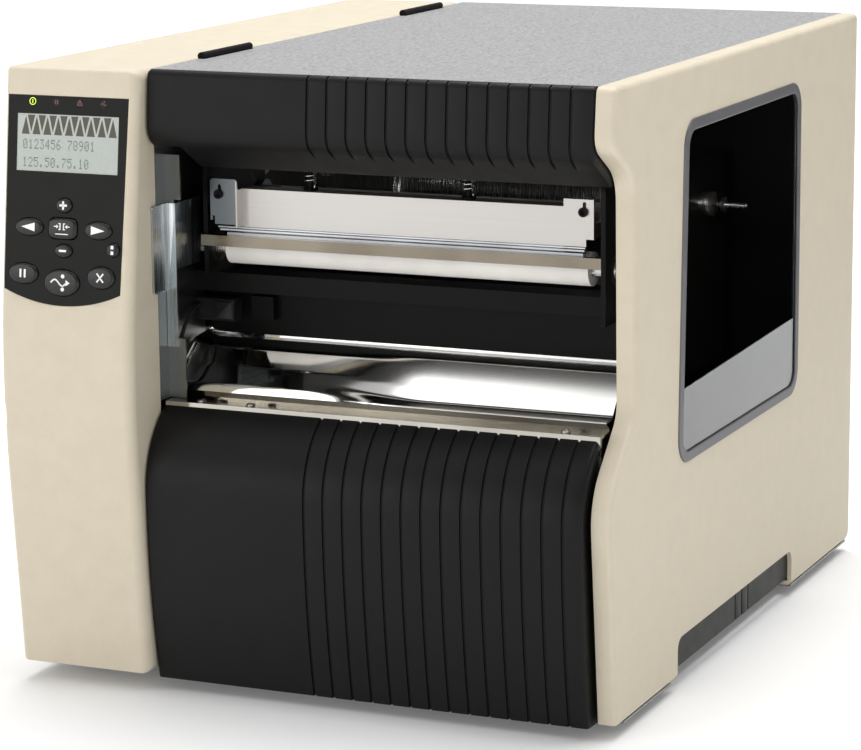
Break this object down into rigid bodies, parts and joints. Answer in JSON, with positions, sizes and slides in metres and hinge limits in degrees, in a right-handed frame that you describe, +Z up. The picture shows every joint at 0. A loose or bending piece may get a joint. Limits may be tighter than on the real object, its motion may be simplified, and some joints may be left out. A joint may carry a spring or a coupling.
{
  "type": "industrial label printer",
  "caption": "Wide industrial label printer: beige side covers, grey lid that swings up with the window side, key panel with display, print mechanism behind a front label exit",
  "frame": {"origin": "on the supporting surface, at the middle of the overall width and depth", "axes": "+X to the right seen from the front, where the window side is, +Y to the back, +Z up"},
  "size_m": [0.397, 0.518, 0.394],
  "materials": {
    "cover_plastic": "fine textured moulding, warm beige",
    "black_plastic": "fine textured moulding, black",
    "dark_grip": "smooth moulding, dark grey",
    "key_plastic": "satin key caps, charcoal",
    "gasket_rubber": "smooth extruded rubber, black",
    "foot_rubber": "moulded rubber, black",
    "platen_rubber": "ground silicone rubber, off-white",
    "lid_paint": "coarse textured powder coat, grey",
    "black_paint": "fine textured powder coat, black",
    "zinc_sheet": "zinc-plated sheet, dull",
    "bright_steel": "bright rolled steel",
    "polished_steel": "polished sheet",
    "satin_steel": "satin nickel-plated steel",
    "turned_steel": "turned steel",
    "spring_steel": "drawn spring wire",
    "aluminium": "extruded aluminium, satin",
    "anodised": "turned aluminium, clear anodised",
    "window_glass": "clear polycarbonate over a dark bay",
    "display_glass": "display window",
    "lens_plastic": "moulded lamp lens",
    "board_green": "glass-fibre board with solder mask",
    "belt_rubber": "neoprene timing belt",
    "bearing_bronze": "sintered bronze",
    "connector_plastic": "moulded connector, black",
    "blue_plastic": "moulded plastic, dark blue"
  },
  "bodies": {
    "chassis": {"base_pan": "zinc_sheet", "rubber_feet": "foot_rubber", "centre_plate": "zinc_sheet", "electronics_cover": "cover_plastic", "rear_panel": "black_paint", "lower_front_panel": "black_plastic", "front_shelf": "bright_steel", "catch_bracket": "zinc_sheet", "fixed_hinge_leaves": "black_paint", "mechanism_side_plates": "black_paint", "lower_cross_beam": "black_paint", "label_guide_plate": "polished_steel", "tear_bar": "bright_steel", "static_brush": "aluminium", "drive_belt": "belt_rubber", "platen_motor": "black_paint", "shaft_bearings": "bearing_bronze", "media_hanger": "turned_steel", "control_bezel": "dark_grip", "control_board": "board_green", "status_lenses": "lens_plastic", "display_window": "display_glass", "main_board": "board_green", "power_supply": "zinc_sheet", "inlet_module": "connector_plastic", "data_connectors": "zinc_sheet", "panel_screws": "turned_steel", "web_sensor": "connector_plastic"},
    "door": {"door_side_panel": "cover_plastic", "door_lid": "lid_paint", "upper_fascia": "black_plastic", "window_gasket": "gasket_rubber", "window_pane": "window_glass", "grip_insert": "dark_grip", "door_hinge_leaves": "black_paint"},
    "release": {"toggle_shaft": "turned_steel", "toggle_plungers": "black_paint", "pressure_springs": "spring_steel", "head_lever": "black_paint"},
    "head": {"printhead_bracket": "satin_steel", "printhead": "aluminium", "printhead_screws": "black_paint"},
    "platen": {"platen_roller": "platen_rubber", "platen_shaft": "turned_steel"},
    "motor_rotor": {"motor_pulley": "aluminium"},
    "supply": {"ribbon_supply_spindle": "anodised"},
    "takeup": {"ribbon_takeup_spindle": "anodised"},
    "idler": {"guide_roller": "anodised"},
    "roll_guide": {"media_guide": "dark_grip"},
    "dancer": {"dancer_arm": "turned_steel"},
    "rocker": {"power_rocker": "black_plastic"},
    "key_plus": {"button_plus": "key_plastic"},
    "key_previous": {"button_previous": "key_plastic"},
    "key_setup": {"button_setup": "key_plastic"},
    "key_next": {"button_next": "key_plastic"},
    "key_minus": {"button_minus": "key_plastic"},
    "key_calibrate": {"button_calibrate": "key_plastic"},
    "key_pause": {"button_pause": "key_plastic"},
    "key_feed": {"button_feed": "key_plastic"},
    "key_cancel": {"button_cancel": "key_plastic"}
  },
  "joints": [
    {"name": "door_hinge", "type": "hinge", "parent": "chassis", "child": "door", "pos_m": [-0.1035, 0, 0.3915], "axis": [0, -1, 0], "range_deg": [0, 110]},
    {"name": "head_release", "type": "hinge", "parent": "chassis", "child": "release", "pos_m": [0, -0.15, 0.35], "axis": [-1, 0, 0], "range_deg": [0, 60]},
    {"name": "head_tilt", "type": "hinge", "parent": "chassis", "child": "head", "pos_m": [0, -0.11, 0.3], "axis": [-1, 0, 0], "range_deg": [0, 12]},
    {"name": "platen_spin", "type": "hinge", "parent": "chassis", "child": "platen", "pos_m": [0, -0.168, 0.2733], "axis": [1, 0, 0], "continuous": true},
    {"name": "motor_spin", "type": "hinge", "parent": "chassis", "child": "motor_rotor", "pos_m": [0, -0.15, 0.1823], "axis": [1, 0, 0], "continuous": true},
    {"name": "ribbon_supply_spin", "type": "hinge", "parent": "chassis", "child": "supply", "pos_m": [0, 0.02, 0.322], "axis": [1, 0, 0], "continuous": true},
    {"name": "ribbon_takeup_spin", "type": "hinge", "parent": "chassis", "child": "takeup", "pos_m": [0, -0.085, 0.335], "axis": [1, 0, 0], "continuous": true},
    {"name": "idler_spin", "type": "hinge", "parent": "chassis", "child": "idler", "pos_m": [0, -0.12, 0.262], "axis": [1, 0, 0], "continuous": true},
    {"name": "roll_guide_slide", "type": "slide", "parent": "chassis", "child": "roll_guide", "axis": [-1, 0, 0], "range_m": [0, 0.18]},
    {"name": "dancer_pivot", "type": "hinge", "parent": "chassis", "child": "dancer", "pos_m": [0, -0.03, 0.092], "axis": [-1, 0, 0], "range_deg": [0, 35], "stiffness_Nm_per_rad": 0.3, "springref_deg": -22.92},
    {"name": "power_switch", "type": "hinge", "parent": "chassis", "child": "rocker", "pos_m": [-0.1385, 0.2527, 0.0395], "axis": [1, 0, 0], "range_deg": [0, 14]},
    {"name": "key_plus_press", "type": "slide", "parent": "chassis", "child": "key_plus", "axis": [0, 0.9936, -0.1134], "range_m": [0, 0.0012], "stiffness_N_per_m": 600},
    {"name": "key_previous_press", "type": "slide", "parent": "chassis", "child": "key_previous", "axis": [0, 0.9936, -0.1134], "range_m": [0, 0.0012], "stiffness_N_per_m": 600},
    {"name": "key_setup_press", "type": "slide", "parent": "chassis", "child": "key_setup", "axis": [0, 0.9936, -0.1134], "range_m": [0, 0.0012], "stiffness_N_per_m": 600},
    {"name": "key_next_press", "type": "slide", "parent": "chassis", "child": "key_next", "axis": [0, 0.9936, -0.1134], "range_m": [0, 0.0012], "stiffness_N_per_m": 600},
    {"name": "key_minus_press", "type": "slide", "parent": "chassis", "child": "key_minus", "axis": [0, 0.9936, -0.1134], "range_m": [0, 0.0012], "stiffness_N_per_m": 600},
    {"name": "key_calibrate_press", "type": "slide", "parent": "chassis", "child": "key_calibrate", "axis": [0, 0.9936, -0.1134], "range_m": [0, 0.0012], "stiffness_N_per_m": 600},
    {"name": "key_pause_press", "type": "slide", "parent": "chassis", "child": "key_pause", "axis": [0, 0.9936, -0.1134], "range_m": [0, 0.0012], "stiffness_N_per_m": 600},
    {"name": "key_feed_press", "type": "slide", "parent": "chassis", "child": "key_feed", "axis": [0, 0.9936, -0.1134], "range_m": [0, 0.0012], "stiffness_N_per_m": 600},
    {"name": "key_cancel_press", "type": "slide", "parent": "chassis", "child": "key_cancel", "axis": [0, 0.9936, -0.1134], "range_m": [0, 0.0012], "stiffness_N_per_m": 600}
  ],
  "couplings": [
    {"joint": "head_tilt", "follows": "head_release", "ratio": 0.2},
    {"joint": "motor_spin", "follows": "platen_spin", "ratio": 2}
  ]
}
